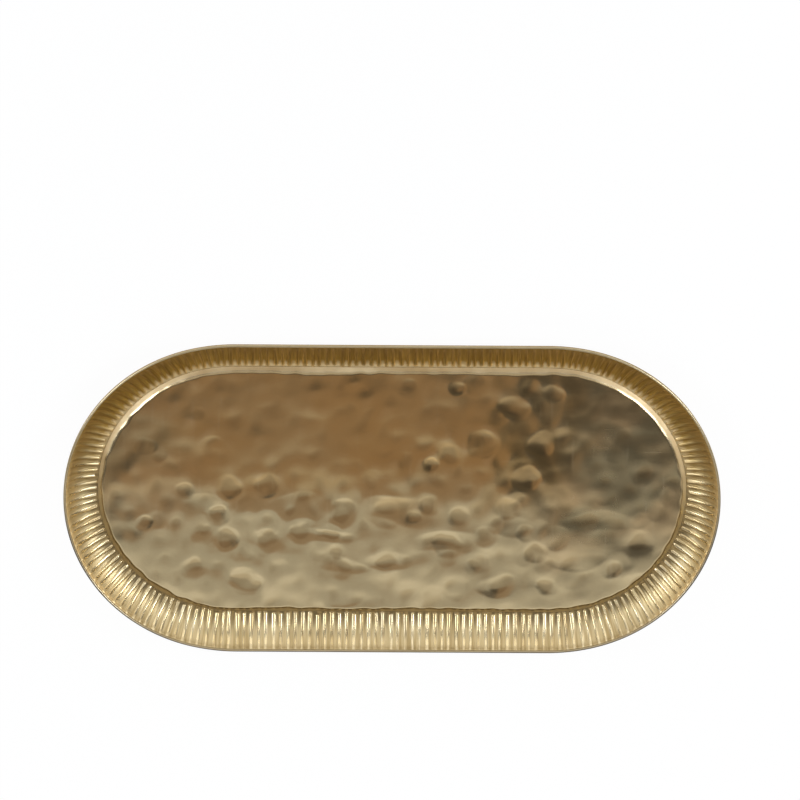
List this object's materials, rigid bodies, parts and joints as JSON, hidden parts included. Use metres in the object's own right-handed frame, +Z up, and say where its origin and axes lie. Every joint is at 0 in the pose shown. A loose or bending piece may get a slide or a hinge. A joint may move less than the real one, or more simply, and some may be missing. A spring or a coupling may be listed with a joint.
{
  "type": "tray",
  "caption": "Long oval brass serving tray with a hammered floor raised on a flat foot, a fluted rim coving up and out, and a half-round border wire.",
  "frame": {"origin": "the middle of the tray's outline, on the surface that its foot stands on", "axes": "+X along the tray's length, +Y across its width, +Z up out of its open side"},
  "size_m": [0.45, 0.23, 0.0185],
  "materials": {
    "floor_brass": "hammered, antique, satin with fine scratches",
    "rim_brass": "fluted, brighter gold, semi-polished ridges with darker grooves",
    "wire_brass": "smooth, slightly tarnished",
    "solder": "dull soft solder"
  },
  "bodies": {
    "root": {"base_plate": "floor_brass", "fluted_rim": "rim_brass", "edge_wire": "wire_brass", "base_solder": "solder", "edge_solder": "solder"}
  },
  "joints": []
}
